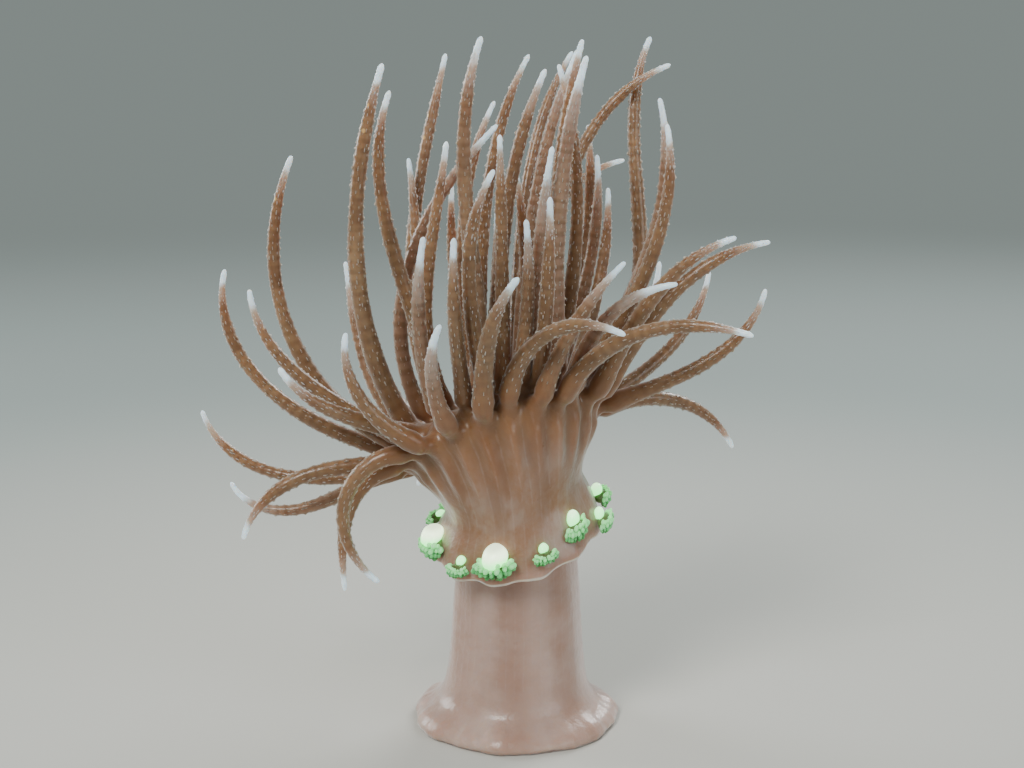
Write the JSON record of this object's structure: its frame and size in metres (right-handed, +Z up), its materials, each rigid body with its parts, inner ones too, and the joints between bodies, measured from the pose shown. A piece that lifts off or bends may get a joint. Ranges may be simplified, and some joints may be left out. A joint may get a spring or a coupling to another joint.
{
  "type": "sea anemone",
  "caption": "Small sea anemone with a flat foot, a column ringed by a pleated collar of green-lobed vesicles, and a wide crown of long ringed tentacles, as a still life-size model.",
  "frame": {"origin": "centre of the flat underside of the foot, on the floor", "axes": "+Z up along the column, -X towards the lowest part of the crown's rim, -Y towards the front, where the collar hangs lowest"},
  "size_m": [0.0283, 0.0221, 0.0333],
  "materials": {
    "foot": "translucent pinkish brown flesh, wet, finely wrinkled",
    "lower_column": "translucent pale pinkish lilac flesh with fine pale lengthwise lines, wet",
    "collar": "thin translucent pleated fold with a pale edge, cream-white vesicles and green lobes",
    "upper_column": "translucent orange-brown flesh with fine pale lengthwise lines, wet",
    "crown": "translucent warm brown flesh, wet",
    "mouth": "pale pleated lips, wet",
    "tentacles": "translucent warm brown with darker rings, small white dots and whitish tips, wet"
  },
  "bodies": {
    "root": {"foot": "foot", "column_lower": "lower_column", "collar": "collar", "column_upper": "upper_column", "crown": "crown", "mouth": "mouth", "tentacle_outer_01": "tentacles", "tentacle_outer_02": "tentacles", "tentacle_outer_03": "tentacles", "tentacle_outer_04": "tentacles", "tentacle_outer_05": "tentacles", "tentacle_outer_06": "tentacles", "tentacle_outer_07": "tentacles", "tentacle_outer_08": "tentacles", "tentacle_outer_09": "tentacles", "tentacle_outer_10_base": "tentacles", "tentacle_outer_10_end": "tentacles", "tentacle_outer_11_base": "tentacles", "tentacle_outer_11_end": "tentacles", "tentacle_outer_12_base": "tentacles", "tentacle_outer_12_end": "tentacles", "tentacle_outer_13_base": "tentacles", "tentacle_outer_13_end": "tentacles", "tentacle_outer_14_base": "tentacles", "tentacle_outer_14_end": "tentacles", "tentacle_outer_15_base": "tentacles", "tentacle_outer_15_end": "tentacles", "tentacle_outer_16": "tentacles", "tentacle_outer_17": "tentacles", "tentacle_outer_18": "tentacles", "tentacle_outer_19": "tentacles", "tentacle_outer_20": "tentacles", "tentacle_outer_21": "tentacles", "tentacle_outer_22": "tentacles", "tentacle_outer_23": "tentacles", "tentacle_outer_24_base": "tentacles", "tentacle_outer_24_end": "tentacles", "tentacle_second_02_base": "tentacles", "tentacle_second_02_end": "tentacles", "tentacle_second_05": "tentacles", "tentacle_second_08_base": "tentacles", "tentacle_second_08_end": "tentacles", "tentacle_second_09": "tentacles", "tentacle_second_10_base": "tentacles", "tentacle_second_10_end": "tentacles", "tentacle_second_11": "tentacles", "tentacle_second_12_base": "tentacles", "tentacle_second_12_end": "tentacles", "tentacle_second_13": "tentacles", "tentacle_second_19_base": "tentacles", "tentacle_second_19_end": "tentacles", "tentacle_third_03_base": "tentacles", "tentacle_third_03_end": "tentacles", "tentacle_third_08_base": "tentacles", "tentacle_third_08_end": "tentacles", "tentacle_third_09_base": "tentacles", "tentacle_third_09_end": "tentacles", "tentacle_third_11": "tentacles", "tentacle_third_14": "tentacles"}
  },
  "joints": []
}
